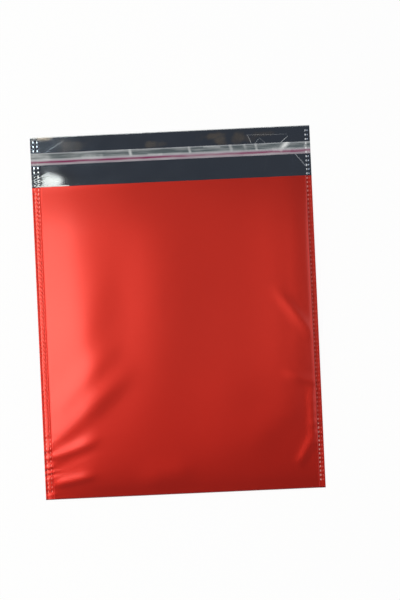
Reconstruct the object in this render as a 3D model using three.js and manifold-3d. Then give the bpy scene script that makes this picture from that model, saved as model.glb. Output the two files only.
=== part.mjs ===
// Foil gift bag, lying on its back panel with a little air in the pocket.
//
// One length of metallised film is folded across at the bottom, so the front panel, the
// back panel and the lip above the mouth are a single piece. A toothed wheel welds both
// sides and leaves two rows of small pressed marks in each weld. The lip carries a ribbon
// of adhesive under a release liner, which is peeled off to seal the filled bag.
//
// Millimetres. X runs across the bag, +Y from the fold to the top of the lip, and +Z up
// through the front panel. The origin is under the middle of the bag, on the surface
// that it lies on.

import * as THREE from 'three';
import { mergeGeometries, mergeVertices } from 'three/addons/utils/BufferGeometryUtils.js';
import Module from 'manifold-3d';

const wasm = await Module();
wasm.setup();

// Film
const bagWidth = 250;
const bagLength = 324; // from the fold to the top of the lip
const lipLength = 45;
const filmThickness = 0.2;

// Side welds, from the cut edge to the weld's inner line
const leftWeldWidth = 7.5;
const rightWeldWidth = 5;

// Pressed marks in the welds
const markPitch = 3.85;
const markLength = 2;
const markWidth = 1.1;
const markDepth = 0.12;
const leftRowInset = 2.2; // from the left edge to the middle of the first row of marks
const leftRowSpacing = 3.5;
const rightRowInset = 1.9; // the same from the right edge
const rightRowSpacing = 2.1;
const markFoldMargin = 5; // bare weld above the fold
const markTopMargin = 1; // bare weld below the top of the lip

// Air between the panels
const bellyHeight = 7.4;
const bellyReach = 130; // how far from the fold the front panel stops rising
const mouthDrop = 1.8; // how much lower the front panel stands at the mouth
const mouthDropLength = 77; // how far below the mouth it starts to fall
const mouthZone = 42; // how far below the mouth the left side starts to flatten
const leftWallReach = 6; // the upright rise beside the left weld
const leftWallShare = 0.66; // of the belly's height
const leftWallReachAtMouth = 12;
const leftWallShareAtMouth = 0.58;
const facetWidth = 36; // the slanting facet next to it
const facetShare = 0.33; // of the belly's height
const facetWidthAtMouth = 66;
const facetShareAtMouth = 0.3;
const facetWidensFrom = 0.47; // of the pocket's length, from the fold
const facetWidensTo = 0.92;
const crownReach = 156; // how far from the left weld the front panel levels out
const crownShare = 0.78; // of the belly's height, there
const rightWallReach = 10.2;

// The larger soft folds of the front panel. Each crest runs from start to end, given by the
// distance from one weld into the pocket and from the bottom fold. Seen walking from start
// to end, it spreads to its left and right and bows to its left. A power near 1 gives a sharp
// crest, and a height below 0 a valley.
const foldsByLeftWeld = [
  { start: [-57.5, 30.6], end: [28.1, 102.7], left: 17.1, right: 13.4,
    height: 1.37, bow: 0.3, power: 2.21 },
  { start: [-52.6, 64.7], end: [37.2, 119], left: 23.3, right: 8.9,
    height: 1.09, bow: 1, power: 2.86 },
  { start: [1.9, 21.7], end: [45.6, 126.3], left: 45, right: 14.4,
    height: 0.58, bow: 6.2, power: 1.91 },
  { start: [11.4, -16.8], end: [41.5, 86.8], left: 8.5, right: 9.8,
    height: 0.37, bow: 3.2, power: 2.01 },
  { start: [18.9, 65.2], end: [66, 263.2], left: 36.9, right: 16.9,
    height: 0.59, bow: 12, power: 1.59 },
  { start: [20.2, 28.1], end: [80.3, 134.2], left: 45, right: 41.7,
    height: 0.75, bow: 8.6, power: 1.58 },
  { start: [57.7, 83.6], end: [76.7, 135.7], left: 12.8, right: 21.9,
    height: -0.41, bow: 3.7, power: 2.45 },
  { start: [67.3, 56.4], end: [75.9, 155.5], left: 19.7, right: 19.1,
    height: 0.33, bow: 7, power: 3 },
  { start: [87, -20.3], end: [125.4, 36.4], left: 45, right: 20,
    height: -0.8, bow: -4.4, power: 2.23 },
];
const foldsByRightWeld = [
  { start: [82.9, 9.4], end: [96.9, 117.4], left: 30, right: 42.9,
    height: 0.32, bow: -7, power: 2.78 },
  { start: [54.8, 115.9], end: [50.2, 243.6], left: 45, right: 38.6,
    height: 0.42, bow: 6.2, power: 1.42 },
  { start: [44.2, -14.9], end: [21.1, 40.2], left: 11.3, right: 7,
    height: 0.29, bow: -6.1, power: 2.54 },
  { start: [32.2, 77.1], end: [31.4, 174.1], left: 9.7, right: 15.9,
    height: 0.38, bow: -0.1, power: 1.88 },
  { start: [63.2, 83.9], end: [-1.8, 36.5], left: 21.9, right: 5.4,
    height: 0.49, bow: 1.4, power: 2.6 },
  { start: [5.5, 89.8], end: [20.2, 51.6], left: 6, right: 9.4,
    height: 0.34, bow: 1.5, power: 1.88 },
  { start: [2.3, 54.4], end: [23.2, 39.1], left: 8.4, right: 9.2,
    height: 0.98, bow: 1.5, power: 1.71 },
  { start: [15.6, 221.6], end: [5.8, 335], left: 11.8, right: 6.9,
    height: 0.81, bow: 4, power: 1.68 },
  { start: [5.1, -18.2], end: [11.7, 288.2], left: 29.7, right: 4.6,
    height: 2.6, bow: 1.7, power: 1.54 },
  { start: [23.7, 93.6], end: [-22.8, 88.4], left: 11.4, right: 7,
    height: 0.45, bow: -0.6, power: 1.67 },
];
const foldFade = 0.35; // of a crest's length, over which it rises at each end
const weldHold = 4; // how far from a weld the folds are held flat
const bottomHold = 5; // the same from the bottom fold

// Sealing strip on the lip
const linerWidth = 11;
const linerThickness = 0.15;
const linerInset = 14.3; // from the top of the lip to the liner's upper edge
const adhesiveWidth = 5.5;
const adhesiveThickness = 0.1;
const adhesiveInset = 0.8; // from the liner's upper edge to the adhesive

// Mesh stations of the front panel
const acrossSteps = 36;
const shoulderSteps = 18;
const bellySteps = 16;

// Places that follow from the sizes
const foldY = -bagLength / 2;
const lipTopY = bagLength / 2;
const mouthY = lipTopY - lipLength;
const leftEdgeX = -bagWidth / 2;
const rightEdgeX = bagWidth / 2;
const leftWeldX = leftEdgeX + leftWeldWidth;
const rightWeldX = rightEdgeX - rightWeldWidth;
const pocketMiddleX = (leftWeldX + rightWeldX) / 2;
const pocketHalfWidth = (rightWeldX - leftWeldX) / 2;
const weldTopZ = 2 * filmThickness;
const adhesiveTopZ = filmThickness + adhesiveThickness;
const linerTopZ = adhesiveTopZ + linerThickness;
const linerTopY = lipTopY - linerInset;
const linerBottomY = linerTopY - linerWidth;

// A closed geometry as a manifold solid.
function solidFrom(geometry) {
  const bare = geometry.clone();
  bare.deleteAttribute('normal');
  bare.deleteAttribute('uv');
  const merged = mergeVertices(bare);
  const corners = merged.index.array;
  const triangles = [];
  for (let i = 0; i < corners.length; i += 3) {
    const [a, b, c] = corners.subarray(i, i + 3);
    if (a !== b && b !== c && c !== a) triangles.push(a, b, c);
  }
  return new wasm.Manifold(new wasm.Mesh({
    numProp: 3,
    vertProperties: merged.attributes.position.array,
    triVerts: new Uint32Array(triangles),
  }));
}

// A manifold solid as a named mesh with flat facets.
function meshFrom(solid, name, material) {
  const { numProp, vertProperties, triVerts } = solid.getMesh();
  const shared = new THREE.BufferGeometry();
  shared.setAttribute('position', new THREE.BufferAttribute(vertProperties, numProp));
  shared.setIndex(new THREE.BufferAttribute(triVerts, 1));
  const geometry = shared.toNonIndexed();
  geometry.computeVertexNormals();
  const mesh = new THREE.Mesh(geometry, material);
  mesh.name = name;
  return mesh;
}

// The closed body between an upper and a lower height surface over one grid of stations.
// Its diagonals lean towards the middle, so a corner where the surfaces meet stays sound.
function bodyBetween(xs, ys, upper, lower) {
  const positions = [];
  for (const height of [upper, lower]) {
    for (const y of ys) {
      for (const x of xs) positions.push(x, y, height(x, y));
    }
  }
  const columns = xs.length;
  const rows = ys.length;
  const top = (i, j) => j * columns + i;
  const under = (i, j) => columns * rows + top(i, j);
  const index = [];
  const quad = (a, b, c, d) => index.push(a, b, c, a, c, d);
  for (let j = 0; j < rows - 1; j += 1) {
    for (let i = 0; i < columns - 1; i += 1) {
      const corners = [[i, j], [i + 1, j], [i + 1, j + 1], [i, j + 1]];
      if (i >= (columns - 1) / 2) corners.push(corners.shift());
      const [a, b, c, d] = corners;
      quad(top(...a), top(...b), top(...c), top(...d));
      index.push(under(...a), under(...c), under(...b));
      index.push(under(...a), under(...d), under(...c));
    }
  }
  for (let i = 0; i < columns - 1; i += 1) {
    quad(under(i, 0), under(i + 1, 0), top(i + 1, 0), top(i, 0));
    quad(under(i + 1, rows - 1), under(i, rows - 1), top(i, rows - 1), top(i + 1, rows - 1));
  }
  for (let j = 0; j < rows - 1; j += 1) {
    quad(under(0, j + 1), under(0, j), top(0, j), top(0, j + 1));
    quad(under(columns - 1, j), under(columns - 1, j + 1), top(columns - 1, j + 1), top(columns - 1, j));
  }
  const geometry = new THREE.BufferGeometry();
  geometry.setAttribute('position', new THREE.Float32BufferAttribute(positions, 3));
  geometry.setIndex(index);
  return geometry;
}

// A flat strip right across the bag, between two places along it.
function stripAcross(bottomY, topY, baseZ, thickness) {
  const strip = new THREE.BoxGeometry(bagWidth, topY - bottomY, thickness);
  return strip.translate(0, (bottomY + topY) / 2, baseZ + thickness / 2);
}

// A curve from 0 to 1 with level ends.
function eased(value) {
  return THREE.MathUtils.smoothstep(value, 0, 1);
}

// A curve from 0 to 1 that starts upright and is level at its reach.
function uprightRise(distance, reach, power) {
  const leftOver = 1 - THREE.MathUtils.clamp(distance / reach, 0, 1);
  return (1 - leftOver ** power) ** (1 / power);
}

// A straight rise from 0 that bends softly into a level 1.
function softRamp(value) {
  const bend = 8;
  const level = Math.exp(-bend);
  return (Math.log(1 + level) - Math.log(Math.exp(-bend * value) + level)) / bend;
}

// A fold with its crest's ends as places on the bag.
function placedFold(fold, acrossFrom) {
  const place = ([inset, fromFold]) => new THREE.Vector2(acrossFrom(inset), foldY + fromFold);
  return { ...fold, start: place(fold.start), end: place(fold.end) };
}

const softFolds = [
  ...foldsByLeftWeld.map((fold) => placedFold(fold, (inset) => leftWeldX + inset)),
  ...foldsByRightWeld.map((fold) => placedFold(fold, (inset) => rightWeldX - inset)),
];

// The height that one fold adds: a bell across its crest, which fades at both ends.
function foldHeight(x, y, fold) {
  const along = fold.end.clone().sub(fold.start);
  const length = along.length();
  along.divideScalar(length);
  const fromStart = new THREE.Vector2(x, y).sub(fold.start);
  const share = fromStart.dot(along) / length;
  const aside = along.cross(fromStart) - fold.bow * 4 * share * (1 - share);
  const spread = aside > 0 ? fold.left : fold.right;
  const fade = eased(share / foldFade) * eased((1 - share) / foldFade);
  return fold.height * Math.exp(-((Math.abs(aside) / spread) ** fold.power)) * fade;
}

// How high the air lifts the front panel off the back panel. The crest rises upright from
// the bottom fold and falls a little to the mouth. Across the bag the panel rises upright
// from both welds, and beside the left one a facet slants on, which is widest at the mouth.
function airHeight(x, y) {
  const { lerp, clamp } = THREE.MathUtils;
  const fromFold = Math.max(y - foldY, 0);
  const fromLeft = Math.max(x - leftWeldX, 0);
  const fromRight = Math.max(rightWeldX - x, 0);
  const fromMouth = mouthY - y;
  const fall = clamp(1 - fromMouth / mouthDropLength, 0, 1) ** 3;
  const crest = bellyHeight * uprightRise(fromFold, bellyReach, 2) - mouthDrop * fall;

  const nearMouth = eased(1 - fromMouth / mouthZone);
  const wallReach = lerp(leftWallReach, leftWallReachAtMouth, nearMouth);
  const wallShare = lerp(leftWallShare, leftWallShareAtMouth, nearMouth);
  const slantShare = lerp(facetShare, facetShareAtMouth, nearMouth);
  const up = fromFold / (mouthY - foldY);
  const widening = eased((up - facetWidensFrom) / (facetWidensTo - facetWidensFrom));
  const slantWidth = lerp(facetWidth, facetWidthAtMouth, widening);
  const left = wallShare * uprightRise(fromLeft, wallReach, 2.5)
    + slantShare * softRamp(fromLeft / slantWidth)
    + (crownShare - wallShare - slantShare) * eased(fromLeft / crownReach);
  const right = uprightRise(fromRight, rightWallReach, 2);

  const held = eased(fromLeft / weldHold) * eased(fromRight / weldHold)
    * eased(fromFold / bottomHold);
  const folds = softFolds.reduce((sum, fold) => sum + foldHeight(x, y, fold), 0);
  return crest * left * right + held * folds;
}

// Stations across the pocket, closer together towards the welds.
function pocketStationsX() {
  const stations = [];
  for (let i = 0; i <= acrossSteps; i += 1) {
    const turn = Math.PI * (i / acrossSteps - 0.5);
    stations.push(pocketMiddleX + pocketHalfWidth * Math.sin(turn));
  }
  return stations;
}

// Stations from the fold to the mouth, closer together towards the fold.
function pocketStationsY() {
  const stations = [];
  for (let i = 0; i <= shoulderSteps; i += 1) {
    const turn = (Math.PI / 2) * (i / shoulderSteps);
    stations.push(foldY + bellyReach * (1 - Math.cos(turn)));
  }
  for (let i = 1; i <= bellySteps; i += 1) {
    stations.push(THREE.MathUtils.lerp(foldY + bellyReach, mouthY, i / bellySteps));
  }
  return stations;
}

// The middles of one row of marks, stepped both ways from the mouth so that its edge
// falls between two of them.
function markPlacesY() {
  const places = [];
  for (let y = mouthY - markPitch / 2; y >= foldY + markFoldMargin; y -= markPitch) places.push(y);
  for (let y = mouthY + markPitch / 2; y <= lipTopY - markTopMargin; y += markPitch) places.push(y);
  return places;
}

// The four rows' places across the bag.
function markRowsX() {
  return [
    leftEdgeX + leftRowInset,
    leftEdgeX + leftRowInset + leftRowSpacing,
    rightEdgeX - rightRowInset,
    rightEdgeX - rightRowInset - rightRowSpacing,
  ];
}

// The surface that a mark is pressed into: the weld, the liner's end or the bare lip.
function markSurfaceZ(y) {
  const half = markLength / 2;
  if (y < mouthY) return weldTopZ;
  return y > linerBottomY - half && y < linerTopY + half ? linerTopZ : filmThickness;
}

// The four-sided points of the welding wheel, each set where it presses in, for the marks
// that the filter keeps.
function pressedMarks(keep) {
  const point = new THREE.OctahedronGeometry(1)
    .rotateZ(Math.PI / 4)
    .scale(markWidth / Math.SQRT2, markLength / Math.SQRT2, markDepth);
  const points = [];
  for (const y of markPlacesY().filter(keep)) {
    for (const x of markRowsX()) points.push(point.clone().translate(x, y, markSurfaceZ(y)));
  }
  return solidFrom(mergeGeometries(points));
}

// The folded and welded film: a body with the front panel's shape, joined to the flat back
// panel and lip, less the air in the pocket, which runs out through the mouth.
function foilBag() {
  const xs = pocketStationsX();
  const ys = pocketStationsY();
  const panels = bodyBetween(
    [leftEdgeX, ...xs, rightEdgeX],
    ys,
    (x, y) => weldTopZ + airHeight(x, y),
    () => 0,
  );
  const pastMouthY = mouthY + lipLength / 4;
  const air = bodyBetween(
    xs,
    [...ys.map((y) => y + filmThickness), pastMouthY],
    (x, y) => filmThickness + airHeight(x, y - filmThickness),
    () => filmThickness,
  );
  const backPanelAndLip = stripAcross(foldY, lipTopY, 0, filmThickness);
  const marks = pressedMarks((y) => markSurfaceZ(y) !== linerTopZ);
  return solidFrom(panels)
    .add(solidFrom(backPanelAndLip))
    .subtract(solidFrom(air))
    .subtract(marks);
}

// The ribbon of adhesive laid on the lip.
function adhesiveStrip() {
  const topY = linerTopY - adhesiveInset;
  return solidFrom(stripAcross(topY - adhesiveWidth, topY, filmThickness, adhesiveThickness));
}

// The release liner over the adhesive, whose lower edge stays dry so that it can be lifted.
function releaseLiner() {
  const ribbon = stripAcross(linerBottomY, linerTopY, adhesiveTopZ, linerThickness);
  return solidFrom(ribbon).subtract(pressedMarks((y) => markSurfaceZ(y) === linerTopZ));
}

const redFoil = new THREE.MeshStandardMaterial({ color: 0xb02a22, roughness: 0.32, metalness: 0.9 });
const adhesive = new THREE.MeshStandardMaterial({ color: 0x7d8688, roughness: 0.4, metalness: 0 });
const linerFilm = new THREE.MeshStandardMaterial({ color: 0xb9b8bd, roughness: 0.3, metalness: 0 });

const bag = new THREE.Group();
bag.add(meshFrom(foilBag(), 'foil_bag', redFoil));
bag.add(meshFrom(adhesiveStrip(), 'adhesive_strip', adhesive));
bag.add(meshFrom(releaseLiner(), 'release_liner', linerFilm));

export default bag;
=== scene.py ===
"""A red foil gift bag lying on a white table, with a little air in its pocket.

Shapes are worked out in millimetres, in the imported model's frame, and become metres when a
mesh is made. X runs across the bag, +Y from the bottom fold to the top of the lip, and +Z up
through the front panel.
"""

import math
from typing import NamedTuple

import bpy
import numpy as np
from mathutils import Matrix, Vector


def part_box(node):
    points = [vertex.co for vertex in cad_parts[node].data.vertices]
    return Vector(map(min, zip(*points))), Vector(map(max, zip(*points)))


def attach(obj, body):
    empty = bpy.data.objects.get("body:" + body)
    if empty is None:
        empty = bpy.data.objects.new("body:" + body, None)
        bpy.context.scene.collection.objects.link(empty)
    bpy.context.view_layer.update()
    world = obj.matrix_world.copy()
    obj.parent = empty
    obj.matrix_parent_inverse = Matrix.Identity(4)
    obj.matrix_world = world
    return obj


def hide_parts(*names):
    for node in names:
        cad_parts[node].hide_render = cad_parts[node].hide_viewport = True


MM = 0.001

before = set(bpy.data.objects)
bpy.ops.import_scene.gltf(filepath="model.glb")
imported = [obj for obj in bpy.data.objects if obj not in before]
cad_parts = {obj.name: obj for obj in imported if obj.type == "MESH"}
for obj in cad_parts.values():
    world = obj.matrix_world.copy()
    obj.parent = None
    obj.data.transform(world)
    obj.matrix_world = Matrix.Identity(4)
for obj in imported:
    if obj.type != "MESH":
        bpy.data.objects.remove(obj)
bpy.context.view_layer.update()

# The bag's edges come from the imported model, the rest from the same sizes as its solids
bag_low, bag_high = (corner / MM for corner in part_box("foil_bag"))
liner_low, liner_high = (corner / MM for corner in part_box("release_liner"))
adhesive_low, adhesive_high = (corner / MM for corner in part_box("adhesive_strip"))
LEFT_EDGE = bag_low.x
RIGHT_EDGE = bag_high.x
FOLD = bag_low.y
LIP_TOP = bag_high.y
MOUTH = LIP_TOP - 45
FILM = 0.2
LEFT_WELD = LEFT_EDGE + 7.5
RIGHT_WELD = RIGHT_EDGE - 5
LINER_THICKNESS = 0.15
ADHESIVE_THICKNESS = 0.1

# Pressed marks in the welds
MARK_PITCH = 3.85
MARK_LENGTH = 2
MARK_WIDTH = 1.1
MARK_DEPTH = 0.12

# Each row of marks: its place across the bag and how strong the painted glint on its marks is, at the heights
# below, from the bottom fold to the top of the lip
LEFT_ROWS = [
    (LEFT_EDGE + 2.2, (0.25, 0.1, 0.1, 0.4, 0.1)),
    (LEFT_EDGE + 5.7, (0.2, 0.0, 0.1, 0.9, 0.12)),
]
RIGHT_ROWS = [
    (RIGHT_EDGE - 1.9, (0.1, 0.05, 0.05, 0.1, 0.1)),
    (RIGHT_EDGE - 4, (1.0, 0.25, 0.35, 0.8, 0.8)),
]
GLINT_HEIGHTS = (-110, -95, 80, 118, 138)
GROOVES = (LEFT_EDGE + 2.1, LEFT_EDGE + 7.5)
MARK_FOLD_MARGIN = 5
MARK_TOP_MARGIN = 1

# Air between the panels
BELLY = 7.4
BELLY_REACH = 130
MOUTH_DROP = 1.8
DROP_START = 40

# The crest's first stretch above the fold is straight, with the slope that the rise has there,
# as a share of the belly for each millimetre
CREST_STRAIGHT = 8
CREST_SLOPE = 0.0209

# How wide the front panel's steep walls are at the fold and beside the welds, and how far
# from them the soft folds are held flat
FOLD_WALL = 0.8
RIGHT_WALL = 0.8
LEFT_WALL = 0.6
LEFT_WALL_GROWTH = 0.6
WELD_HOLD = 0.6
FOLD_HOLD = 1.2

# Shares of the crest's height at the left side: what the wall and the slanting facet after it
# give, and what a gentle fall leaves at its reach from the weld, past the panel's middle
LEFT_WALL_SHARE = 0.66
FACET_SHARE = 0.33
LEFT_SHARE = 0.78
GENTLE_REACH = 156
FACET_WIDTH = 36
FACET_WIDENING = 30
FACET_NARROWING = 4

# The share of a soft fold's length over which each of its ends fades
FOLD_FADE = 0.35

# Heights of the waves along the welds
LOW_LEFT_WAVE = 0.16
LIP_WAVE = 0.32
LOW_RIGHT_WAVE = 0.15

# The lip's swelling beside the left weld
SWELLING = 0.42

# Grooves and the ridge like a cord in the welds
GROOVE_DEPTH = 0.06
GROOVE_HALF_WIDTH = 1.2
CORD_HEIGHT = 0.06
CORD_INSET = 4.2
CORD_HALF_WIDTH = 1.3

# The release liner's dry edge and wrinkles
DRY_EDGE_LIFT = 0.45
WRINKLE_HEIGHT = 0.05


class Fold(NamedTuple):
    """A soft fold, in millimetres from the middle of the bag. It runs from start to end. Left
    and right are how far it spreads to each side of its crest, as seen walking from start to
    end. A valley has a height below 0."""

    start: tuple
    end: tuple
    left: float
    right: float
    height: float


# The folds of the front panel, from the left weld to the right one
PANEL_FOLDS = [
    Fold((-125, -150), (-75, -142), 5, 4, 0.4),
    Fold((-130, -130), (-70, -108), 6, 5, 0.5),
    Fold((-145, -135), (-35, -40), 14, 10, 0.7),
    Fold((-130, -100), (-50, -20), 12, 10, 0.5),
    Fold((-86, -50), (-86, 140), 20, 25, 0.35),
    Fold((-50, -60), (-50, 110), 25, 25, -0.3),
    Fold((-35, -130), (-5, 110), 35, 35, 0.6),
    Fold((-45, -150), (15, -140), 12, 10, 0.3),
    Fold((50, -150), (35, -40), 30, 35, 0.3),
    Fold((100, -140), (103, 160), 26, 14, 0.9),
    Fold((85, 22), (130, -38), 4, 6, 0.4),
    Fold((88, -57), (132, -72), 4, 4, 0.4),
    Fold((50, -130), (115, -75), 18, 12, 0.3),
    Fold((100, -145), (120, -110), 5, 4, 0.5),
    Fold((116, -125), (117, -60), 5, 3, 0.5),
    Fold((117, -100), (117, 130), 12, 4, 0.8),
]


def ease(t):
    """0 to 1 with level ends: 3 t squared less 2 t cubed, held between them."""
    t = np.clip(t, 0, 1)
    return t * t * (3 - 2 * t)


def upright_rise(distance, reach, power):
    """Height, from 0 to 1, that leaves a seam upright and is level at its reach: the power-th
    root of 1 less what is left of the reach to that power."""
    left_over = 1 - np.clip(distance / reach, 0, 1)
    return np.maximum(1 - left_over**power, 0) ** (1 / power)


def soft_ramp(t):
    """The smooth lesser of t and 1: -ln(exp(-8 t) + exp(-8)) / 8, shifted to be 0 at 0."""
    t = np.maximum(t, 0)
    return (np.log(1 + math.exp(-8)) - np.log(np.exp(-8 * t) + math.exp(-8))) / 8


def fold_height(x, y, fold):
    """A bell across the fold, exp(-(distance / spread) squared), which fades at both ends."""
    start, end = np.array(fold.start), np.array(fold.end)
    along = end - start
    length = np.hypot(*along)
    along = along / length
    t = ((x - start[0]) * along[0] + (y - start[1]) * along[1]) / length
    aside = (y - start[1]) * along[0] - (x - start[0]) * along[1]
    spread = np.where(aside > 0, fold.left, fold.right)
    fade = ease(t / FOLD_FADE) * ease((1 - t) / FOLD_FADE)
    return fold.height * np.exp(-((aside / spread) ** 2)) * fade


def air(x, y):
    """How far the front panel is lifted off the back one. Its crest has a wall at the fold and
    a straight stretch after it, rises as a quarter of an ellipse and falls to the mouth as a
    cube. It is multiplied by a rise from each weld. On the left, a slanting facet follows the
    wall, wide at the mouth and narrower below, and then a gentle fall past the middle. The soft
    folds are added."""
    from_fold = y - FOLD
    from_left = x - LEFT_WELD
    from_right = RIGHT_WELD - x
    crest = upright_rise(np.maximum(from_fold, CREST_STRAIGHT), BELLY_REACH, 2)
    crest = crest - CREST_SLOPE * np.maximum(CREST_STRAIGHT - from_fold, 0)
    crest = BELLY * crest * upright_rise(from_fold, FOLD_WALL, 2)
    crest = crest - MOUTH_DROP * np.clip((y - DROP_START) / (MOUTH - DROP_START), 0, 1.1) ** 3
    weld_reach = LEFT_WALL + LEFT_WALL_GROWTH * ease((y - 80) / 35)
    facet_width = FACET_WIDTH + FACET_WIDENING * ease((y + 30) / 125)
    facet_width = facet_width - FACET_NARROWING * ease((-110 - y) / 45)
    near_mouth = ease((y - 75) / 42)
    weld_share = LEFT_WALL_SHARE - 0.08 * near_mouth
    facet_share = FACET_SHARE - 0.03 * near_mouth
    left = weld_share * upright_rise(from_left, weld_reach, 2.5)
    left = left + facet_share * soft_ramp(from_left / facet_width)
    left = left + (LEFT_SHARE - weld_share - facet_share) * ease(from_left / GENTLE_REACH)
    right = upright_rise(from_right, RIGHT_WALL, 2)
    folds = sum(fold_height(x, y, fold) for fold in PANEL_FOLDS)
    held = ease(from_left / WELD_HOLD) * ease(from_right / WELD_HOLD) * ease(from_fold / FOLD_HOLD)
    return crest * left * right + folds * held


def bell(x, y, middle, left, right, down, up):
    """A smooth hill, exp(-distance squared), with its own spread towards each side."""
    across = (x - middle[0]) / np.where(x < middle[0], left, right)
    along = (y - middle[1]) / np.where(y < middle[1], down, up)
    return np.exp(-(across**2) - along**2)


def ripple(angle):
    """A wave between 0 and 1: half of 1 plus the cosine of its angle."""
    return (1 + np.cos(angle)) / 2


def stretch(y, low, fade_in, high, fade_out):
    """1 between two heights of the bag, eased to 0 at both of them."""
    return ease((y - low) / fade_in) * ease((high - y) / fade_out)


def seam_waves(x, y):
    """Small waves along the welds, which fade into the panel: below on the left with a length
    that varies, at the lip with one wave for each mark, and below on the right."""
    left = np.exp(-np.maximum(x - LEFT_WELD, 0) / 4)
    right = np.exp(-np.maximum(RIGHT_WELD - x, 0) / 4)
    phase = y - 0.35 * x
    slow = 2.2 * np.sin(y / 5.3) + 1.3 * np.sin(y / 3.1 + 1)
    low_left = ripple(2 * np.pi * phase / 8.1 + slow) * stretch(y, -161, 6, -96, 18)
    lip_left = ripple(2 * np.pi * (phase + 0.6 * np.sin(y / 2.7)) / MARK_PITCH)
    lip_left = lip_left * stretch(y, 114, 5, 137, 12)
    lip_left = lip_left * np.exp(-np.maximum(x - LEFT_WELD, 0) / 2)
    low_right = ripple(2 * np.pi * y / 9.4) * stretch(y, -128, 12, -58, 12)
    low = left * LOW_LEFT_WAVE * low_left + right * LOW_RIGHT_WAVE * low_right
    return low + LIP_WAVE * lip_left


def lift(x, y):
    """How far the back panel and the lip stand off the table: the lip's swelling beside the
    left weld, a soft upright fold near its right end, and the waves of the welds."""
    swelling = SWELLING * bell(x, y, (-95, 124), 18, 60, 6, 7) * ease((x - LEFT_EDGE) / 8)
    upright = fold_height(x, y, Fold((104, 92), (105, 170), 12, 5, 0.15))
    return swelling + upright + seam_waves(x, y)


def closed_sheet(name, upper, lower, materials, marks=None):
    """A closed thin mesh from two grids of points of one shape (rows, columns, 3), the upper
    skin's and the lower skin's, joined by a strip of quads round their rim. Marks, one number
    for each point of the upper skin, become the attribute of that name."""
    rows, columns = upper.shape[:2]
    count = rows * columns
    at = np.arange(count).reshape(rows, columns)
    quads = np.stack([at[:-1, :-1], at[:-1, 1:], at[1:, 1:], at[1:, :-1]], -1).reshape(-1, 4)
    rim = np.concatenate([at[0, :-1], at[:-1, -1], at[-1, :0:-1], at[:0:-1, 0]])
    following = np.roll(rim, -1)
    wall = np.stack([rim, rim + count, following + count, following], -1)
    faces = np.concatenate([quads, quads[:, ::-1] + count, wall])
    points = np.concatenate([upper.reshape(-1, 3), lower.reshape(-1, 3)]) * MM
    mesh = bpy.data.meshes.new(name)
    mesh.from_pydata(points.tolist(), [], faces.tolist())
    skins = np.concatenate([np.zeros(len(quads)), np.ones(len(quads)), np.zeros(len(wall))])
    for material in materials:
        mesh.materials.append(material)
    if len(materials) > 1:
        mesh.polygons.foreach_set("material_index", skins.astype(np.int32))
    if marks is not None:
        values = np.concatenate([marks.ravel(), np.zeros(count)])
        mesh.attributes.new("marks", "FLOAT", "POINT").data.foreach_set("value", values)
    mesh.polygons.foreach_set("use_smooth", np.ones(len(faces), bool))
    mesh.update()
    mesh.set_sharp_from_angle(angle=math.radians(50))
    piece = bpy.data.objects.new(name, mesh)
    bpy.context.scene.collection.objects.link(piece)
    return piece


def eased_stations(low, high, count, evenness):
    """Places from low to high, closer together at both ends: a blend of even steps and of the
    cubic 1.5 q - 0.5 q cubed."""
    q = np.linspace(-1, 1, count)
    s = evenness * q + (1 - evenness) * (1.5 * q - 0.5 * q**3)
    return (low + high) / 2 + (high - low) / 2 * s


def panel_stations():
    """Places across the panel: squares of even steps up both of its steep walls, which stand
    within 2 mm of the welds, and eased steps between them."""
    wall = 2 * (np.arange(14) / 14) ** 2
    between = eased_stations(LEFT_WELD + 2, RIGHT_WELD - 2, 185, 0.72)
    return np.concatenate([LEFT_WELD + wall, between, RIGHT_WELD - wall[::-1]])


def rows_at(x, y, z):
    """Points on the grid of x by y, at the heights z."""
    grid_x, grid_y = np.meshgrid(x, y)
    return np.stack([grid_x, grid_y, z], -1)


def front_film(red, silver):
    """The front panel from the mouth's edge to the fold, and round the fold to its underside:
    a half circle of one film's thickness."""
    x = panel_stations()
    shoulder = FOLD + FILM + 50 * (np.arange(61) / 60) ** 2
    y = np.append(shoulder, np.linspace(shoulder[-1], MOUTH, 160)[1:])[::-1]
    grid_x, grid_y = np.meshgrid(x, y)
    low = lift(grid_x, grid_y) + FILM + air(grid_x, grid_y - FILM)
    angle = np.linspace(math.pi / 2, -math.pi / 2, 9)[1:, None]
    middle = lift(x, np.full_like(x, FOLD + FILM))[None, :] + FILM
    outer_turn = rows_at(x, FOLD + FILM - FILM * np.cos(angle[:, 0]), middle + FILM * np.sin(angle))
    inner_turn = rows_at(x, FOLD + FILM - 0.01 * np.cos(angle[:, 0]), middle + 0.01 * np.sin(angle))
    outer = np.concatenate([rows_at(x, y, low + FILM), outer_turn])
    inner = np.concatenate([rows_at(x, y, low), inner_turn])
    return closed_sheet("front_film", outer[:, ::-1], inner[:, ::-1], [red, silver])


def back_film(red, silver):
    """The back panel from the fold to the mouth, and the lip above it."""
    x = panel_stations()
    y = np.append(np.linspace(FOLD + FILM, MOUTH - 12, 70), np.linspace(MOUTH - 12, LIP_TOP, 72)[1:])
    grid_x, grid_y = np.meshgrid(x, y)
    low = lift(grid_x, grid_y)
    upper = rows_at(x, y, low + FILM)
    return closed_sheet("back_film", upper, rows_at(x, y, low), [silver, red])


def mark_places():
    """The middles of one row of marks, stepped both ways from the mouth."""
    down = np.arange(MOUTH - MARK_PITCH / 2, FOLD + MARK_FOLD_MARGIN, -MARK_PITCH)
    up = np.arange(MOUTH + MARK_PITCH / 2, LIP_TOP - MARK_TOP_MARGIN, MARK_PITCH)
    return np.concatenate([down[::-1], up])


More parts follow.
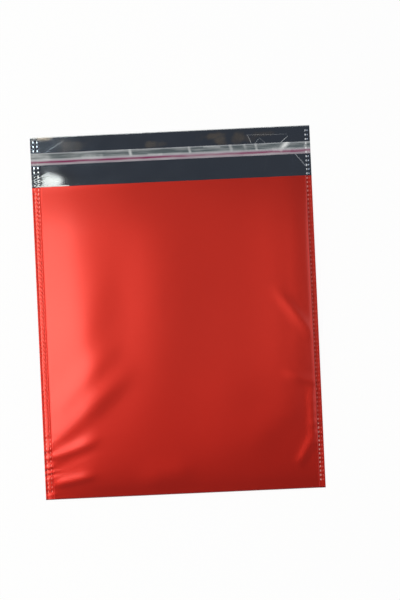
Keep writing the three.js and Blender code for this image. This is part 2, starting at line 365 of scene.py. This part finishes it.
def pressed(x, y, rows):
    """How deep each point of the grid of x by y lies in a mark, 0 to 1, and how strong the painted glint on
    it is.
    The marks are four-sided points: 1 less the larger share of the half length and of the
    half width."""
    places = mark_places()
    nearest = places[np.abs(y[:, None] - places[None, :]).argmin(1)]
    along = np.abs(y - nearest) / (MARK_LENGTH / 2)
    depth = np.zeros((len(y), len(x)))
    mark_glint = np.zeros_like(depth)
    for row_x, glint_along in rows:
        across = np.abs(x - row_x) / (MARK_WIDTH / 2)
        point = np.maximum(1 - np.maximum(along[:, None], across[None, :]), 0)
        glint = np.interp(y, GLINT_HEIGHTS, glint_along)[:, None]
        depth = np.maximum(depth, point)
        mark_glint = np.maximum(mark_glint, np.clip(point * 3, 0, 1) * glint)
    return depth, mark_glint


def twist(x, y):
    """A ridge between the left weld's grooves that looks like a cord: a cosine of a slanting
    place, with one wave for each mark, which fades beside the ridge and at its ends."""
    band = np.exp(-(((x - LEFT_EDGE - CORD_INSET) / CORD_HALF_WIDTH) ** 2))
    wave = np.cos(2 * np.pi * (y + 0.8 * x + 0.5 * np.sin(y / 19)) / MARK_PITCH)
    return CORD_HEIGHT * band * wave * ease((y + 105) / 40) * ease((MOUTH - y) / 6)


def weld(name, low_x, high_x, rows, lip_depth, red, silver):
    """One welded side: both layers of film up to the mouth and the back layer above it. The
    film dips softly, exp(-distance squared), along its two grooves. The marks' depth falls to
    its share for the lip from 13 to 21 mm above the mouth."""
    x = np.linspace(low_x, high_x, round((high_x - low_x) / 0.3) + 1)
    fold_y = FOLD + FILM * np.array([0, 0.2, 0.5, 1])
    pocket_y = np.append(np.append(fold_y, np.arange(FOLD + 2 * FILM, MOUTH, 0.45)), MOUTH)
    lip_y = np.append(np.arange(MOUTH, LIP_TOP - 0.2, 0.45), LIP_TOP)
    pieces = []
    for part, y, layers, top in (("pocket", pocket_y, 2, red), ("lip", lip_y, 1, silver)):
        grid_x, grid_y = np.meshgrid(x, y)
        base = lift(grid_x, grid_y)
        depth, mark_glint = pressed(x, y, rows)
        depth = depth * (1 - (1 - lip_depth) * ease((grid_y - MOUTH - 13) / 8))
        grooves = sum(np.exp(-(((grid_x - x_0) / GROOVE_HALF_WIDTH) ** 2)) for x_0 in GROOVES)
        grooves = GROOVE_DEPTH * grooves * ease((MOUTH - 2 - grid_y) / 4)
        top_z = base + layers * FILM - MARK_DEPTH * depth - grooves + twist(grid_x, grid_y)
        upper = rows_at(x, y, top_z)
        pieces.append(closed_sheet(f"{name}_{part}", upper, rows_at(x, y, base), [top, red], mark_glint))
    return pieces


def adhesive_ribbon(material):
    """The ribbon of adhesive, which follows the lip."""
    x = np.linspace(LEFT_EDGE, RIGHT_EDGE, 251)
    y = np.linspace(adhesive_low.y, adhesive_high.y, 12)
    grid_x, grid_y = np.meshgrid(x, y)
    low = lift(grid_x, grid_y) + FILM
    upper = rows_at(x, y, low + ADHESIVE_THICKNESS)
    return closed_sheet("adhesive_ribbon", upper, rows_at(x, y, low), [material])


def liner_ribbon(material, rows):
    """The release liner. It follows the lip, its dry lower edge stands a little proud as the
    square of the distance past the adhesive, and low wrinkles cross it."""
    x = np.linspace(LEFT_EDGE, RIGHT_EDGE, 620)
    y = np.linspace(liner_low.y, liner_high.y, 40)
    grid_x, grid_y = np.meshgrid(x, y)
    dry = np.clip((adhesive_low.y - grid_y) / (adhesive_low.y - liner_low.y), 0, 1)
    away = ease((grid_x - LEFT_WELD) / 10) * ease((RIGHT_WELD - grid_x) / 10)
    wrinkles = 0.5 + 0.5 * np.sin(grid_x / 5.1 + 1.7 * np.sin(grid_x / 17) + grid_y / 9)
    low = lift(grid_x, grid_y) + FILM + ADHESIVE_THICKNESS + DRY_EDGE_LIFT * dry**2 * away
    low = low + WRINKLE_HEIGHT * wrinkles * away
    depth, mark_glint = pressed(x, y, rows)
    upper = rows_at(x, y, low + LINER_THICKNESS - MARK_DEPTH * depth)
    return closed_sheet("liner_ribbon", upper, rows_at(x, y, low), [material], mark_glint)


# Clouds on the lip: middle, half width, half length and strength. The narrow one at (-115, 160.5) is a
# painted glint along the top left edge.
LIP_CLOUDS = [
    ((-92, 154), 10, 6.5, 0.4),
    ((-82, 154), 9, 6, 0.4),
    # A painted glint along the top left edge
    ((-115, 160.5), 9, 2.4, 0.9),
    ((-17, 151), 7, 4, 0.7),
    ((-8, 150.5), 5, 3, 0.5),
    ((38, 156), 12, 4, 0.9),
    ((44, 152.5), 7, 5, 0.9),
    ((64, 153), 9, 6, 0.8),
    ((84, 156), 12, 3, 0.5),
]

# Where the lip is frosted, next to the left weld: middle, half width and half length
FROSTED = ((-109.5, 122.5), 15, 8)

# Creases in the lip with painted highlights along them, the second being a painted white line just above the
# mouth: start, end and strength
LIP_CREASE_HIGHLIGHTS = [
    ((-112, 148), (-95, 158), 0.12),
    ((-121, 117.9), (-92, 117.7), 0.9),
    ((69.3, 155.7), (72.7, 147.8), 0.4),
    ((76, 148.2), (80.1, 152.6), 0.4),
    ((80.1, 152.6), (84.9, 147.8), 0.35),
    ((68.6, 155.7), (104.5, 154.8), 0.3),
    ((98.4, 147.3), (105, 152.9), 0.6),
    ((111.4, 136.5), (120.9, 125), 0.5),
    ((86, 134), (83, 122), 0.1),
]

# Bands of the release liner: place from its lower edge and colour. The first and the last stops are painted
# shadow lines along the liner's edges.
LINER_BANDS = [
    (0.0, (0.12, 0.12, 0.14)),
    (0.4, (0.30, 0.26, 0.30)),
    (1.6, (0.36, 0.29, 0.34)),
    (2.2, (0.21, 0.035, 0.10)),
    (3.2, (0.20, 0.03, 0.09)),
    (3.8, (0.33, 0.22, 0.29)),
    (4.6, (0.38, 0.36, 0.40)),
    (5.5, (0.30, 0.32, 0.34)),
    (6.2, (0.085, 0.11, 0.12)),
    (9.2, (0.08, 0.10, 0.11)),
    (9.9, (0.13, 0.15, 0.16)),
    (10.3, (0.34, 0.37, 0.40)),
    (10.9, (0.14, 0.15, 0.17)),
]

# Painted white highlights on wrinkles of the release liner: start, end, half width and strength
LINER_WRINKLE_HIGHLIGHTS = [
    ((-36.5, 147), (-35.5, 143), 2.2, 0.55),
    ((16.5, 147), (17.5, 143), 1.9, 0.55),
    ((53.5, 147), (54.5, 143), 2.3, 0.5),
    ((66, 147), (67.5, 143), 2.2, 0.25),
    ((76, 147.5), (77, 142.5), 1.8, 0.35),
    ((104.7, 147.5), (99, 142), 3.6, 0.85),
    ((92, 141.5), (106, 141), 2.6, 0.2),
    ((121, 147), (120.5, 143), 2, 0.3),
    ((-20, 142), (-8, 142), 1.6, 0.3),
    ((30, 146.8), (44, 146), 1.2, 0.25),
    ((-78, 143), (-62, 143), 3, 0.3),
    ((-128, 144), (-110, 144), 5, 0.2),
]


class Shader:
    """A material's node tree, with short calls for the nodes that the finishes share."""

    def __init__(self, name):
        self.material = bpy.data.materials.new(name)
        self.material.use_nodes = True
        self.nodes = self.material.node_tree.nodes
        self.links = self.material.node_tree.links
        self.surface = self.nodes["Principled BSDF"]
        self.place = self.nodes.new("ShaderNodeTexCoord").outputs["Object"]

    def set(self, **values):
        names = {"ior": "IOR"}
        for socket, value in values.items():
            name = names.get(socket, socket.replace("_", " ").title())
            self.surface.inputs[name].default_value = value

    def feed(self, socket, source):
        self.links.new(source, self.surface.inputs[socket])

    def put(self, node, values):
        """Sets or links the sockets of a node, given by number."""
        for socket, value in values.items():
            if isinstance(value, bpy.types.NodeSocket):
                self.links.new(value, node.inputs[socket])
            else:
                node.inputs[socket].default_value = value
        return node

    def noise(self, scale, detail=2.0, stretch=(1, 1, 1)):
        mapping = self.put(self.nodes.new("ShaderNodeMapping"), {"Vector": self.place, "Scale": stretch})
        values = {"Vector": mapping.outputs["Vector"], "Scale": scale, "Detail": detail}
        return self.put(self.nodes.new("ShaderNodeTexNoise"), values).outputs["Fac"]

    def ranged(self, source, low, high, to_low=0.0, to_high=1.0, smooth=False):
        remap = self.nodes.new("ShaderNodeMapRange")
        if smooth:
            remap.interpolation_type = "SMOOTHSTEP"
        values = {"Value": source, "From Min": low, "From Max": high, "To Min": to_low, "To Max": to_high}
        return self.put(remap, values).outputs["Result"]

    def math(self, operation, first, second=0.0):
        node = self.nodes.new("ShaderNodeMath")
        node.operation = operation
        return self.put(node, {0: first, 1: second}).outputs[0]

    def vector(self, operation, values, output=0):
        node = self.nodes.new("ShaderNodeVectorMath")
        node.operation = operation
        return self.put(node, values).outputs[output]

    def mix(self, factor, first, second):
        blend = self.nodes.new("ShaderNodeMix")
        blend.data_type = "RGBA"
        return self.put(blend, {0: factor, 6: first, 7: second}).outputs[2]

    def along(self, axis):
        """The place along one axis, in millimetres."""
        split = self.put(self.nodes.new("ShaderNodeSeparateXYZ"), {0: self.place})
        return self.math("MULTIPLY", split.outputs[axis], 1 / MM)

    def attribute(self, name):
        node = self.nodes.new("ShaderNodeAttribute")
        node.attribute_name = name
        return node.outputs["Fac"]

    def crease(self, start, end, width):
        """1 on the straight line between two places of the bag, in millimetres, and 0 from the
        width beside it: the distance is the length of the place less its foot on the line."""
        flat = self.vector("MULTIPLY", {0: self.place, 1: (1 / MM, 1 / MM, 0)})
        start, span = Vector((*start, 0)), Vector((*end, 0)) - Vector((*start, 0))
        from_start = self.vector("SUBTRACT", {0: flat, 1: start})
        share = self.vector("DOT_PRODUCT", {0: from_start, 1: span / span.length_squared}, 1)
        foot = self.vector("SCALE", {0: span, 3: self.ranged(share, 0, 1)})
        apart = self.vector("LENGTH", {0: self.vector("SUBTRACT", {0: from_start, 1: foot})}, 1)
        return self.ranged(apart, 0, width, 1, 0, True)

    def patch(self, middle, across, along, ragged=0.5):
        """A cloudy patch: 1 less the elliptic distance from its middle, in shares of its half
        sizes, made ragged by noise."""
        flat = self.vector("MULTIPLY", {0: self.place, 1: (1 / MM, 1 / MM, 0)})
        apart = self.vector("SUBTRACT", {0: flat, 1: (*middle, 0)})
        shares = self.vector("DIVIDE", {0: apart, 1: (across, along, 1)})
        distance = self.vector("LENGTH", {0: shares}, 1)
        distance = self.math("ADD", distance, self.ranged(ragged, 0.3, 0.7, -0.45, 0.45))
        return self.ranged(distance, 0.2, 1.25, 1, 0, True)

    def bump(self, height, distance, strength=1.0):
        values = {"Strength": strength, "Distance": distance, "Height": height}
        node = self.put(self.nodes.new("ShaderNodeBump"), values)
        self.links.new(node.outputs["Normal"], self.surface.inputs["Normal"])


def red_foil():
    """Satin red lacquer over bright metal, under a clear film. The pressed marks carry painted glints, and
    painted shade darkens the lacquer in a line along the fold."""
    shader = Shader("red_foil")
    shader.set(metallic=1.0, coat_weight=0.6, coat_roughness=0.2)
    deep = shader.mix(shader.noise(9, 3), (0.59, 0.021, 0.0125, 1), (0.62, 0.023, 0.0135, 1))
    light = shader.mix(shader.noise(9, 3), (0.59, 0.029, 0.0180, 1), (0.62, 0.031, 0.0195, 1))
    lacquer = shader.mix(shader.ranged(shader.along("Y"), -150, 0, smooth=True), deep, light)
    # The pressed marks carry a painted glint, a pale red, from the marks attribute
    glinted = shader.mix(shader.attribute("marks"), lacquer, (0.95, 0.42, 0.39, 1))
    # Painted shade: a dark line along the fold
    fold_shade = shader.ranged(shader.along("Y"), FOLD + 0.5, FOLD + 1.3, 1, 0)
    shader.feed("Base Color", shader.mix(fold_shade, glinted, (0.18, 0.004, 0.004, 1)))
    shader.feed("Roughness", shader.ranged(shader.noise(900, 2), 0.3, 0.7, 0.36, 0.40))
    shader.bump(shader.noise(1800, 2), 0.00002, 0.3)
    return shader.material


def silver_inside():
    """The bright metal side of the film, with clouds (the narrow one at the top left corner is a painted
    glint), painted highlights along its creases and as a white line above the mouth, a painted highlight
    along its top cut edge and painted glints on the pressed marks."""
    shader = Shader("silver_inside")
    shader.set(metallic=1.0)
    ragged = shader.noise(110, 3)
    metal = shader.mix(shader.noise(14, 3, (1, 2.2, 1)), (0.44, 0.54, 0.70, 1), (0.50, 0.58, 0.70, 1))
    clouds = 0.0
    for middle, across, along, strength in LIP_CLOUDS:
        cloud = shader.math("MULTIPLY", shader.patch(middle, across, along, ragged), strength)
        clouds = shader.math("MAXIMUM", clouds, cloud)
    metal = shader.mix(clouds, metal, (0.80, 0.72, 0.64, 1))
    frost = shader.patch(*FROSTED)
    middle, across, along = FROSTED
    greyed = shader.patch(middle, across * 1.8, along * 1.8)
    metal = shader.mix(greyed, metal, (0.46, 0.50, 0.54, 1))
    lines = 0.0
    # Painted highlights along the lip's creases
    for start, end, strength in LIP_CREASE_HIGHLIGHTS:
        line = shader.math("MULTIPLY", shader.crease(start, end, 0.7), strength)
        lines = shader.math("MAXIMUM", lines, line)
    # Painted highlight along the lip's top cut edge
    edge_highlight = shader.ranged(shader.along("Y"), LIP_TOP - 1.0, LIP_TOP - 0.4)
    line_highlights = shader.math("MAXIMUM", lines, shader.math("MULTIPLY", edge_highlight, 0.6))
    # The painted highlights and the marks' painted glints make the metal pale and rougher
    glint = shader.math("MAXIMUM", line_highlights, shader.attribute("marks"))
    shader.feed("Base Color", shader.mix(glint, metal, (0.8, 0.8, 0.8, 1)))
    smooth = shader.ranged(shader.noise(60, 3), 0.3, 0.7, 0.06, 0.09)
    clouded = shader.math("ADD", smooth, shader.math("MULTIPLY", clouds, 0.06))
    frosted = shader.math("ADD", clouded, shader.math("MULTIPLY", frost, 0.2))
    shader.feed("Roughness", shader.math("ADD", frosted, shader.math("MULTIPLY", glint, 0.4)))
    shader.bump(shader.noise(220, 3), 0.0001, 0.15)
    return shader.material


def adhesive():
    shader = Shader("adhesive")
    shader.set(roughness=0.35)
    cloud = shader.noise(300, 2, (0.2, 1, 1))
    shader.feed("Base Color", shader.mix(cloud, (0.12, 0.14, 0.15, 1), (0.2, 0.22, 0.23, 1)))
    return shader.material


def liner():
    """Clear film seen over the adhesive and the silver: bands across its width, from its lower edge up, with
    painted shadow lines at both edges, streaks, painted white highlights on its wrinkles, painted glints on
    the pressed marks and the magenta line of print."""
    shader = Shader("release_liner")
    shader.set(roughness=0.22, coat_weight=0.5, coat_roughness=0.08)
    wander = shader.ranged(shader.noise(25, 2, (1, 0, 0)), 0.3, 0.7, -0.15, 0.15)
    up = shader.math("ADD", shader.math("SUBTRACT", shader.along("Y"), liner_low.y), wander)
    bands = shader.nodes.new("ShaderNodeValToRGB")
    stops = bands.color_ramp.elements
    for place, colour in LINER_BANDS:
        stop = stops.new(place / (liner_high.y - liner_low.y))
        stop.color = (*colour, 1)
    stops.remove(stops[0])
    stops.remove(stops[-1])
    shader.put(bands, {0: shader.math("DIVIDE", up, liner_high.y - liner_low.y)})
    streaks = shader.ranged(shader.noise(420, 3, (0.09, 1, 1)), 0.45, 0.75)
    banded = shader.mix(shader.math("MULTIPLY", streaks, 0.4), bands.outputs["Color"], (0.62, 0.64, 0.66, 1))
    shine = 0.0
    # Painted highlights on the wrinkles, and the pressed marks' painted glints
    for start, end, width, strength in LINER_WRINKLE_HIGHLIGHTS:
        line = shader.math("MULTIPLY", shader.crease(start, end, width), strength)
        shine = shader.math("MAXIMUM", shine, line)
    broken = shader.ranged(shader.noise(200, 3, (0.6, 1, 1)), 0.35, 0.6, 0.35, 1)
    shine = shader.math("MAXIMUM", shader.math("MULTIPLY", shine, broken), shader.attribute("marks"))
    shader.feed("Base Color", shader.mix(shine, banded, (0.85, 0.87, 0.88, 1)))
    shader.bump(shader.noise(500, 2, (0.2, 1, 1)), 0.0001, 0.25)
    return shader.material


# Brightness of the surround at heights from its horizon, 0, to straight above, 1
SKY_LEVELS = [(0.0, 0.9), (0.6, 0.7), (0.8, 0.3), (0.9, 0.12), (0.95, 0.1), (0.975, 0.08), (0.99, 0.06)]


def area_lamp(name, place, aim, width, length, radiance, tint=(1, 1, 1)):
    """A softbox at a place, in metres, turned to its aim, of one brightness all over. Its
    length runs along Y and its width across that."""
    data = bpy.data.lights.new(name, "AREA")
    data.shape = "RECTANGLE"
    data.color = tint
    data.size = length
    data.size_y = width
    data.energy = radiance * math.pi * width * length
    lamp = bpy.data.objects.new(name, data)
    lamp.location = place
    lamp.rotation_euler = (Vector(aim) - Vector(place)).to_track_quat("-Z", "Y").to_euler()
    bpy.context.scene.collection.objects.link(lamp)


def table():
    """A wide white table top, which looks white by itself and still takes the bag's shadow."""
    reach = 6.0
    corners = [(-reach, -reach, 0), (reach, -reach, 0), (reach, reach, 0), (-reach, reach, 0)]
    mesh = bpy.data.meshes.new("table")
    mesh.from_pydata(corners, [], [(0, 1, 2, 3)])
    floor = bpy.data.objects.new("table", mesh)
    bpy.context.scene.collection.objects.link(floor)
    shader = Shader("table_white")
    shader.set(base_color=(0.93, 0.93, 0.93, 1), roughness=0.9)
    shader.surface.inputs["Specular IOR Level"].default_value = 0.0
    glow = shader.nodes.new("ShaderNodeEmission")
    path = shader.nodes.new("ShaderNodeLightPath").outputs
    seen = shader.math("MAXIMUM", path["Is Camera Ray"], path["Is Glossy Ray"])
    seen = shader.math("MAXIMUM", seen, path["Is Transmission Ray"])
    mix = shader.nodes.new("ShaderNodeMixShader")
    shader.put(mix, {0: shader.math("MULTIPLY", seen, 0.9), 1: shader.surface.outputs[0], 2: glow.outputs[0]})
    shader.links.new(mix.outputs[0], shader.nodes["Material Output"].inputs["Surface"])
    mesh.materials.append(shader.material)


def studio():
    """A strong softbox on the left and a weaker one on the right, in a surround that is white
    at its horizon and dark overhead."""
    area_lamp("left_softbox", (-1.04, 0.0, 1.65), (0, 0, 0), 1.64, 0.8, 5.2, (1, 0.985, 0.88))
    area_lamp("right_softbox", (0.89, 0.0, 1.74), (0, 0, 0), 0.90, 0.8, 1.2)
    world = bpy.data.worlds.new("surround")
    bpy.context.scene.world = world
    world.use_nodes = True
    nodes, links = world.node_tree.nodes, world.node_tree.links
    way = nodes.new("ShaderNodeTexCoord")
    split = nodes.new("ShaderNodeSeparateXYZ")
    ramp = nodes.new("ShaderNodeValToRGB")
    stops = ramp.color_ramp.elements
    for place, level in SKY_LEVELS:
        stops.new(place).color = (level, level, level * 1.05, 1)
    stops.remove(stops[0])
    stops.remove(stops[-1])
    links.new(way.outputs["Generated"], split.inputs[0])
    links.new(split.outputs["Z"], ramp.inputs[0])
    links.new(ramp.outputs["Color"], nodes["Background"].inputs["Color"])


def camera():
    """Straight above the bag with a long lens, turned so that the bag leans as it does in the
    photograph."""
    lens, sensor = 120, 36
    frame_height = 0.536
    lean = math.radians(2.6)
    middle_in_view = (-0.0199, -0.0112)
    right = np.array([math.cos(lean), -math.sin(lean)])
    up = np.array([math.sin(lean), math.cos(lean)])
    centre = -(middle_in_view[0] * right + middle_in_view[1] * up)
    data = bpy.data.cameras.new("overhead")
    data.lens = lens
    data.sensor_width = sensor
    data.clip_end = 50
    overhead = bpy.data.objects.new("overhead", data)
    overhead.location = (centre[0], centre[1], frame_height * lens / sensor)
    overhead.rotation_euler = (0, 0, -lean)
    bpy.context.scene.collection.objects.link(overhead)
    bpy.context.scene.camera = overhead


def build():
    red, silver = red_foil(), silver_inside()
    front = front_film(red, silver)
    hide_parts("foil_bag")
    film = [front, back_film(red, silver)]
    film += weld("left_weld", LEFT_EDGE, LEFT_WELD, LEFT_ROWS, 0.3, red, silver)
    film += weld("right_weld", RIGHT_WELD, RIGHT_EDGE, RIGHT_ROWS, 1.0, red, silver)
    strip = adhesive_ribbon(adhesive())
    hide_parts("adhesive_strip")
    cover = liner_ribbon(liner(), LEFT_ROWS + RIGHT_ROWS)
    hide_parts("release_liner")
    for pieces, slot in ((film, "red_foil"), ([strip], "adhesive"), ([cover], "liner")):
        for piece in pieces:
            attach(piece, "root")


camera()
table()
studio()
build()
bpy.context.scene.view_settings.view_transform = "Standard"
